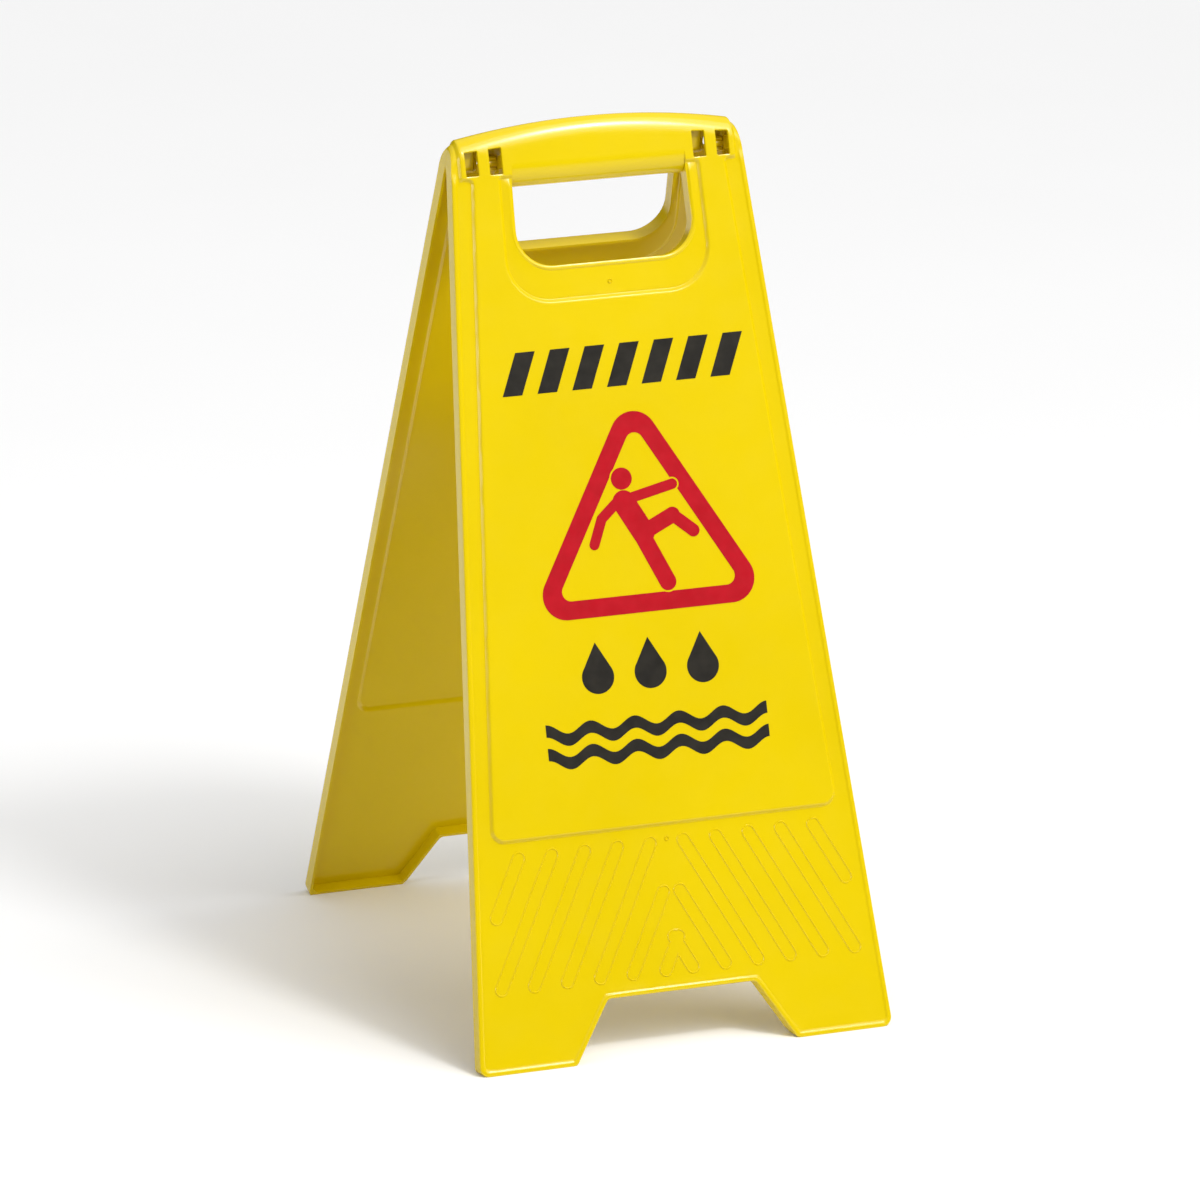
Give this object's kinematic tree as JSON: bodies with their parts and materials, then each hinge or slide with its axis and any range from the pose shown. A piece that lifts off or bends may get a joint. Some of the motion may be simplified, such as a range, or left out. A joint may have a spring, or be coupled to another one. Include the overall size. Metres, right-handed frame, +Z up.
{
  "type": "folding wet floor sign",
  "caption": "Free-standing A-frame floor sign of two hinged yellow plastic halves with a rolled carrying handle and printed warning symbols.",
  "frame": {"origin": "on the floor, midway between the feet and directly below the hinge", "axes": "+X along the hinge, to the right when looking at the front half; +Y from the front half to the rear half; +Z up, with the sign standing open"},
  "size_m": [0.299, 0.3974, 0.6104],
  "materials": {
    "yellow_plastic": "satin injection-moulded polypropylene, slightly translucent",
    "black_ink": "satin screen-print ink",
    "red_ink": "satin screen-print ink"
  },
  "bodies": {
    "front": {"front_panel": "yellow_plastic", "front_stripes": "black_ink", "front_triangle": "red_ink", "front_figure": "red_ink", "front_drops": "black_ink", "front_waves": "black_ink"},
    "rear": {"rear_panel": "yellow_plastic", "rear_stripes": "black_ink", "rear_triangle": "red_ink", "rear_figure": "red_ink", "rear_drops": "black_ink", "rear_waves": "black_ink"}
  },
  "joints": [
    {"name": "fold", "type": "hinge", "parent": "front", "child": "rear", "pos_m": [0, 0, 0.5829], "axis": [-1, 0, 0], "range_deg": [0, 35]}
  ]
}
